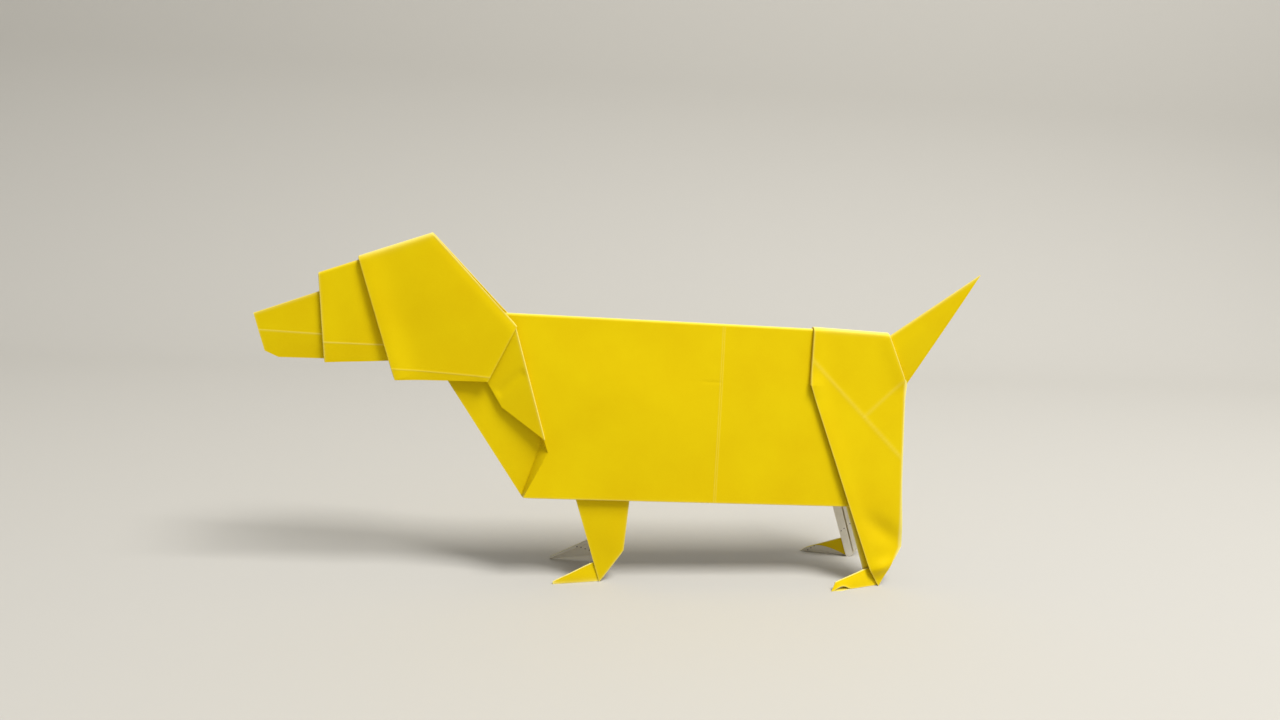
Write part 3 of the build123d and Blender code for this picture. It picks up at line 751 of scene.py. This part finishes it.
# Hindquarters and tail: panels blended from fold line to fold line, for the pleat behind the body,
# the thigh with its leg, the pleat at the rump and the tail, with half circles between them
def hindquarters():
    hindLeft = rib(hindLayer, (thighPoint, thighCorner, ankle, heel), (0, thighKnot, hockKnot, 1), bodyRows)
    hindRight = rib(hindLayer, (rumpPoint, rumpLow, rearLow, hock, heel),
                    (0, thighKnot, rearKnot, hockKnot, 1), bodyRows)
    thighPleat = span(rib(thighPleatLayer, (thighInner, thighInnerLow), (0, 1), pleatRows),
                      rib(thighPleatLayer, (thighPoint, thighCorner), (0, 1), pleatRows), easedColumns(8))
    hind = span(hindLeft, hindRight, easedColumns(96), hindLook)
    tailPleat = span(rib(tailPleatLayer, (rumpPoint, rumpLow), (0, 1), pleatRows),
                     rib(tailPleatLayer, (tailInner, rumpLow), (0, 1), pleatRows), easedColumns(6))
    tailRows = np.concatenate([thighRows, np.linspace(thighKnot, 1, 8)[1:]])
    tipPoint = tailTip + unit(tailTip - tailLow) * tailFold["tipReach"]
    tipPoints = (tipPoint, tipPoint + (tailLow - tipPoint) * tailFold["tipShare"])
    tailMiddle = tailInner + (tailLow - tailInner) * tailFold["bendAt"]
    tailLook = {"wave": 0.06, "tilts": [fromTo(tailMiddle, tailTip, slope=-0.18, reach=9.0)]}
    tail = span(rib(tailLayer, (tailInner, rumpLow, tailLow), (0, thighKnot, 1), tailRows),
                rib(tipLayer, tipPoints, (0, 1), tailRows), easedColumns(30), tailLook)
    # Ridge amounts paint a highlight along the top folds of the hind and the tail
    return [
        thighPleat, paleWearAndHighlight(hind, left=0.3, right=0.4, ridgeHighlight=1.0, ridgeHighlightReach=0.9),
        tailPleat, paleWearAndHighlight(tail, ridgeHighlight=0.6),
        turn(thighPleat[0][:, -1], upperRows(hind[0][:, 0], thighFolded), thigh * -1j, wear=0.3),
        turn(upperRows(hind[0][:, -1], thighFolded), tailPleat[0][:, 0], rump * 1j, wear=0.6),
        turn(tailPleat[0][:, -1], upperRows(tail[0][:, 0], thighFolded), rump * -1j),
    ]


# Neck flap behind the cheek: a blend from its notched front edge to its rear edge, all in the plane
# of hinge and tip, and a strip folded under the rear edge, widest halfway along it
flapFold = {
    "length": (28.7, -74.8), "lift": 0.35, "low": (13.2, 144.0), "notch": (6.9, 121.0), "return": 4.0,
    "dent": (4.0 + 52.7j, -1.2 + 47.8j), "returnNear": 0.06,    # strip stays off the neck by this share
    "knots": (0, 0.45, 0.7, 0.72, 1),                           # tip, low corner, notch, hinge's two ends
}


def neckFlap():
    tip = cheekTop + stride(flapFold["length"])
    low = tip + stride(flapFold["low"])
    notch = low + stride(flapFold["notch"])
    hinge = [place(napePleatLayer, p) for p in (hingeTop, hingeLow)]
    tipPlace = place(bodyLayer, tip) - [0, flapFold["lift"], 0]
    at = [onPlane(*hinge, tipPlace, p) for p in (tip, low, notch, hingeLow, hingeTop)]
    rows = easedRows(flapFold["knots"], (18, 14, 2, 12))
    front = runs(at, flapFold["knots"], rows)
    rear = runs([at[0], at[4]], (0, 1), rows)
    look = {"marks": [fromTo(*flapFold["dent"], height=-0.3, width=1.0)]}
    flap = paleWearAndHighlight(span(front, rear, easedColumns(22), look), right=0.5)
    edge = unit(tip - hingeTop)
    returnPoint = (hingeTop + tip) / 2 + edge * -1j * flapFold["return"]
    under = place(neckLayer, returnPoint)
    share = np.minimum(rows, 1 - rows)[:, None] * 2
    tucked = rear + [0, step, 0]
    near = flapFold["returnNear"]
    hidden = tucked * (1 - share) + share * (under * (1 - near) + near * tucked)
    strip = span(tucked, hidden, easedColumns(6))
    return [flap, turn(flap[0][:, -1], tucked, edge * 1j, wear=0.5), strip]


# Front leg folded down from the belly hem: a blend from its front edge to its rear edge, in the plane
# of its upper corners and heel, with a lining behind it and a foot in a plane of its own
frontLegFold = {
    "start": 18.0, "width": 13.7, "knee": 12.7 + 8.3j, "heelBack": 6.8, "stance": 6.85,
    "foot": 11.8, "splay": 1.5, "toe": 0.6, "instep": 4.9,
    "footHem": (0.108, 0.45, -0.9), "hemAtToe": 0.35,   # hem inside the foot's top: back, in and down
}
kneeKnot = 0.3
leftFrontLook = {"footLift": 0.0, "roll": True}
rightFrontLook = {"footLift": 1.7, "roll": False}   # stands on its toe, with a bare inner band


def frontLeg(look):
    legFront = crossing(frontLegFold["start"] + 0j, 1j, bellyFront, back)
    legRear = legFront + back * frontLegFold["width"]
    legHeel = frontLegFold["start"] + frontLegFold["heelBack"] + 0j
    knee = frontLegFold["start"] + frontLegFold["knee"]
    hemLine = bellyFront - down * backLine["hem"]
    topFront = crossing(legHeel, unit(legFront - legHeel), hemLine, back)
    topRear = crossing(knee, unit(legRear - knee), hemLine, back)
    legLayer, hemLayer = inside(bodyLayer, 2), inside(bodyLayer, 1)
    heelPlace = np.array([legHeel.real, -frontLegFold["stance"], 0])
    plane = [place(legLayer, topFront), place(legLayer, topRear), heelPlace]
    kneePlace = onPlane(*plane, knee)
    rows = easedRows((0, kneeKnot, 1), (12, 24))
    columns = easedColumns(18)
    rearEdge = runs([heelPlace, kneePlace, plane[1]], (0, kneeKnot, 1), rows)
    leg = span(runs([heelPlace, plane[0]], (0, 1), rows), rearEdge, columns,
               {"swellings": [{"at": knee - 3 + 3j, "reach": (3, 4), "height": 0.2}]})
    leg = paleWearAndHighlight(leg, left=0.3, right=0.6)
    topLine = span(place(hemLayer, topFront)[None], place(hemLayer, topRear)[None], columns)[0][0]
    over = turn(leg[0][-1], topLine, -down)
    instep = atLevel(legHeel, unit(legFront - legHeel), frontLegFold["instep"])
    behind, lifted = np.array([0, step, 0]), np.array([0, 0, look["footLift"]])
    instepPlace = onPlane(*plane, instep) + behind * 2
    shortRows = rowsUpTo(rows, kneeKnot) / kneeKnot
    lowEdge = leg[0][:len(shortRows), -1]
    lining = span(runs([heelPlace + behind, kneePlace + behind], (0, 1), shortRows),
                  runs([heelPlace + behind, instepPlace], (0, 1), shortRows), easedColumns(8))
    bend = turn(lowEdge, lining[0][:, 0], unit(knee - legHeel) * -1j, wear=0.5)
    toe = legHeel - frontLegFold["foot"]
    toePlace = np.array([toe.real, -frontLegFold["stance"] - frontLegFold["splay"], 0])
    footRear = [heelPlace + behind + lifted, instepPlace + lifted]
    toeTop = onPlane(toePlace, *footRear, toe + 1j * frontLegFold["toe"])
    footRows = easedColumns(12)
    footLook = {"swellings": [{"at": toe + 6 + 1.6j, "reach": (4, 1.6), "height": 0.15}]}
    foot = span(runs([toePlace, toeTop], (0, 1), footRows), runs(footRear, (0, 1), footRows),
                easedColumns(20), footLook)
    topEdge = foot[0][-1]
    hemShare = np.linspace(frontLegFold["hemAtToe"], 1, len(topEdge))[:, None]
    hemDrop = np.array(frontLegFold["footHem"]) * hemShare
    strip = transposed(span(topEdge + behind, topEdge + behind + hemDrop, easedColumns(4)))
    band = (strip[0][::-1], strip[1][::-1])
    footFold = [transposed(turn(topEdge, topEdge + behind, 1j, wear=0.9))] if look["roll"] else []
    foot = paleWearAndHighlight(foot, left=1.0, low=0.9, reach=0.3)
    return [leg, transposed(over), lining, bend, foot, *footFold, band]


# Hind leg's hems on its inner side, blended between straight lines, and the foot, a small tent with an outer
# and an inner wall blended down from its ridge. A lip curls out under the left foot's lifted toe,
# and the right foot's inner wall runs out before the toe.
hindFootFold = {"length": 13.8, "splay": 4.0, "mouth": 0.46, "lip": (0.45, 1.6, 0.4)}  # lip: out, in, up
# Worn edge of the rear hem, a pale rim behind the leg: an even width, a bell curve above the hock
# with its middle and reach, and a ramp under the tail with its start, rise and fall
rearRimFold = {
    "tuck": 1.5, "width": 0.45, "knots": (0, 0.12, 1),          # hock, leg's rear corner and rump
    "hock": (0.6, 0.16, 0.2), "tail": (0.5, 0.9, 0.1, 0.02),    # widths, then shares of the climb
}
leftFootLook = {
    "peek": (-0.9, 1.35),           # front hem shows before the leg's edge, at its top and at the ankle
    "toe": 1.2 + 2.0j, "ankleUp": 0.0, "toeLift": 1.1,
    "opening": 1.9, "innerHeel": 3.0,
    "innerRise": (0.0, 0.02),       # shares of the foot's length: where the inner wall starts, and grows
}
rightFootLook = {
    "peek": (1.3, 0.75),
    "toe": 1.3 + 1.3j, "ankleUp": 1.5, "toeLift": 0.0,
    "opening": 0.2, "innerHeel": 1.3, "innerRise": (0.26, 0.74),
}


def hindFoot(look):
    inner, innermost = inside(hindLayer, 1), inside(hindLayer, 3)
    ahead = thighEdge * -1j
    heelLine = unit(hock - heel)
    inset = heelLine * 1j * hindFold["hemFoot"]
    hemEnd = heel + inset
    hemTop = thighCorner + thighEdge * hindFold["hemStart"]
    hemFront, hemFrontLow = hemTop + ahead * look["peek"][0], ankle + ahead * look["peek"][1]
    hemInner = hemFront - ahead * hindFold["hemWidth"][0]
    hemInnerLow = hemFrontLow - ahead * hindFold["hemWidth"][1]
    slitInner = hemInner - ahead * hindFold["slit"]
    frontRun, innerRun = unit(hemFrontLow - hemFront), unit(hemInnerLow - hemInner)
    rearTop = rearLow + unit(rumpLow - rearLow) * hindFold["rearHem"]
    rows = easedColumns(40)

    def line(wall, *points):
        return runs([place(wall, p) for p in points], np.linspace(0, 1, len(points)), rows)

    follow = {"swellings": legSwellings[:1]}    # inner layers give way to the dent
    frontHem = span(line(innermost, crossing(hemFront, frontRun, hemEnd, heelLine), hemFront),
                    line(innermost, crossing(hemInner, innerRun, hemEnd, heelLine), hemInner),
                    easedColumns(10), follow)
    slitLow = crossing(slitInner, innerRun, hemEnd, heelLine)
    rearHem = span(line(innermost, slitLow, atLevel(slitInner, innerRun, rearLow.imag),
                        atLevel(slitInner, innerRun, rearTop.imag)),
                   line(innermost, hock + inset, rearLow + inset, rearTop), easedColumns(20), follow)
    heelLining = span(line(inner, heel, ankle), line(inner, heel, hock), easedColumns(8), follow)
    edge = runs([place(inner, p) for p in (hock, rearLow, rumpLow)], rearRimFold["knots"], rows)
    hockRim, hockAt, hockReach = rearRimFold["hock"]
    tailRim, tailAt, tailRise, tailFall = rearRimFold["tail"]
    rim = hockRim * np.exp(-((rows - hockAt) / hockReach) ** 2) + rearRimFold["width"]
    rim = rim + tailRim * np.clip((rows - tailAt) / tailRise, 0, 1) * np.clip((1 - rows) / tailFall, 0, 1)
    tuckedIn, showing = edge - [rearRimFold["tuck"], 0, 0], edge + rim[:, None] * [1, 0, 0]
    rearRim = paleWearAndHighlight(span(tuckedIn, showing, easedColumns(8), follow), right=1.0, reach=0.9)
    # Foot: outer wall, ridge and inner wall, and the lip, a narrow hem that shows under the lifted toe
    toe = heel - hindFootFold["length"]
    heelPlace, anklePlace = place(inner, heel), place(inner, ankle - thighEdge * look["ankleUp"])
    toePlace = heelPlace - [hindFootFold["length"], hindFootFold["splay"], 0]
    toeTop = onPlane(toePlace, anklePlace, heelPlace, toe + look["toe"])
    innerHeel = heelPlace + [-look["innerHeel"], look["opening"], 0]
    along = easedColumns(30)
    behind = np.array([0, step, 0])
    mouth = np.sin(np.pi * np.clip(along / hindFootFold["mouth"], 0, 1)) ** 2   # sine squared at the toe
    outerLow = runs([toePlace, heelPlace], (0, 1), along)
    lipLow = outerLow - mouth[:, None] * [0, hindFootFold["lip"][0], 0]
    lipTop = lipLow + mouth[:, None] * [0, *hindFootFold["lip"][1:]]
    outerLow[:, 2] += look["toeLift"] * mouth
    ridgeLine = runs([toeTop, anklePlace], (0, 1), along)
    innerLow = runs([toePlace, innerHeel], (0, 1), along)
    outer = span(outerLow, ridgeLine, easedColumns(10),
                 {"swellings": [{"at": toe + 7 + 1.8j, "reach": (4, 2), "height": 0.25}]})
    over = turn(ridgeLine, ridgeLine + behind, 1j, wear=0.8)
    lower, wear = span(ridgeLine + behind, innerLow, easedColumns(14))
    rise = np.clip((along - look["innerRise"][0]) / look["innerRise"][1], 0, 1)[:, None, None]
    lower = lower[:, :1] * (1 - rise) + lower * rise
    walls = [paleWearAndHighlight(outer, left=0.5), over, (lower, wear)]
    if look["toeLift"]:
        walls.append(paleWearAndHighlight(span(lipLow, lipTop, easedColumns(8)), left=1.0, reach=0.35))
    return [paleWearAndHighlight(frontHem, left=1.0, reach=0.4), rearHem, heelLining, rearRim,
            *[transposed(wall) for wall in walls]]


for name, fold in (("foldedHead", foldedHead), ("foldedBody", foldedBody), ("hindquarters", hindquarters)):
    paperPiece(name, fold(), paperMaterials)
for name, near, far, materials in (
        ("neckFlap", neckFlap(), neckFlap(), paperMaterials),
        ("frontLeg", frontLeg(leftFrontLook), frontLeg(rightFrontLook), frontMaterials),
        ("hindFoot", hindFoot(leftFootLook), hindFoot(rightFootLook), paperMaterials)):
    paperPiece(name + "Left", near, materials)
    paperPiece(name + "Right", [farSide(patch) for patch in far], materials)
print("paper folded")

# Floor and backdrop: flat, then a quarter circle up to an upright wall
studio = {
    "front": -1.2, "wallAt": 0.42, "bend": 0.16, "height": 0.9, "halfWidth": 1.5,
    "tone": srgb(190, 187, 180), "roughness": 0.9, "gloss": 0.2,
}


def sweep():
    angles = np.linspace(0, np.pi / 2, 24)
    y = np.concatenate([[studio["front"]], studio["wallAt"] - studio["bend"] * (1 - np.sin(angles)),
                        [studio["wallAt"]]])
    z = np.concatenate([[0], studio["bend"] * (1 - np.cos(angles)), [studio["height"]]])
    x = np.linspace(-studio["halfWidth"], studio["halfWidth"], 3)
    grid = np.stack(np.broadcast_arrays(x[None], y[:, None], z[:, None]), axis=-1)
    mesh = bpy.data.meshes.new("floor")
    mesh.from_pydata(grid.reshape(-1, 3), [], gridFaces(grid.shape[:2]))
    mesh.shade_smooth()
    floor = addObject("floor", mesh)
    material = bpy.data.materials.new("paleFloor")
    material.use_nodes = True
    fillInputs(material.node_tree, material.node_tree.nodes["Principled BSDF"], {
        "Base Color": studio["tone"], "Roughness": studio["roughness"],
        "Specular IOR Level": studio["gloss"],
    })
    mesh.materials.append(material)


# Lamp or camera at a place, looking against the last of its three axes
def standAt(name, data, axes, at):
    added = addObject(name, data)
    added.matrix_world = Matrix(np.vstack([np.column_stack([axes, at]), [0, 0, 0, 1]]).tolist())
    return added


overhead = {
    "at": (0.36, -0.36, 1.0), "aim": (0, 0, 0.04), "upright": (0, 1, 0.001), "size": 0.4, "watts": 13.3,
}


# Lamp turned to its aim: the unit vector back from the aim, and two cross products with it
def areaLamp():
    data = bpy.data.lights.new("overhead", "AREA")
    data.size, data.energy = overhead["size"], overhead["watts"]
    at, aim = np.array(overhead["at"]), np.array(overhead["aim"])
    backward = (at - aim) / np.linalg.norm(at - aim)
    right = np.cross(overhead["upright"], backward)
    right = right / np.linalg.norm(right)
    standAt("overhead", data, np.stack([right, np.cross(backward, right), backward], axis=1), at)


# Room light: brighter towards the lamp, by the dot product with its direction
room = {
    "tone": srgb(250, 249, 246), "towards": (0.42, -0.2, 0.88),
    "spread": (-0.1, 0.95), "strength": (0.02, 0.72), "seen": 0.6,
}


# World whose strength is mapped from that dot product
def softRoom():
    world = bpy.data.worlds.new("softRoom")
    world.use_nodes = True
    sky = world.node_tree
    direction = newNode(sky, "TexCoord").outputs["Generated"]
    towardsLamp = calculated(sky, "VectorMath", "DOT_PRODUCT", direction, room["towards"])
    brightness = mapped(sky, towardsLamp, *room["spread"], *room["strength"])
    # Beyond the floor the room is seen as one pale tone
    rays = newNode(sky, "LightPath").outputs
    seen = calculated(sky, "Math", "ADD", rays["Is Camera Ray"], rays["Is Glossy Ray"])
    seen = calculated(sky, "Math", "ADD", seen, rays["Is Transmission Ray"], use_clamp=True)
    strength = newNode(sky, "Mix", {0: seen, 2: brightness, 3: room["seen"]}, data_type="FLOAT").outputs[0]
    fillInputs(sky, sky.nodes["Background"], {"Color": room["tone"], "Strength": strength})
    bpy.context.scene.world = world


sweep()
areaLamp()
softRoom()
bpy.context.scene.view_settings.view_transform = "Standard"
print("studio ready")

# Camera at the photograph's angle: a 1280 by 720 picture with a focal length of 1000 pixels.
# It looks along yaw and pitch, and its two other axes are rolled about that direction
view = {
    "at": (-31.49, -243.64, 102.46), "yaw": -7.922, "pitch": 10.698, "roll": 2.925,
    "focal": 1000, "wide": 1280,
}


def photoCamera():
    yaw, pitch, roll = np.radians([view["yaw"], view["pitch"], view["roll"]])
    forward = np.array([-np.sin(yaw) * np.cos(pitch), np.cos(yaw) * np.cos(pitch), -np.sin(pitch)])
    level = np.array([np.cos(yaw), np.sin(yaw), 0])
    upright = np.cross(level, forward)
    right = np.cos(roll) * level + np.sin(roll) * upright
    above = np.cos(roll) * upright - np.sin(roll) * level
    data = bpy.data.cameras.new("photoView")
    data.sensor_width = 36
    data.lens = view["focal"] / view["wide"] * data.sensor_width
    data.clip_start = 0.01
    axes = np.stack([right, above, -forward], axis=1)
    bpy.context.scene.camera = standAt("photoView", data, axes, np.array(view["at"]) * millimetre)


photoCamera()
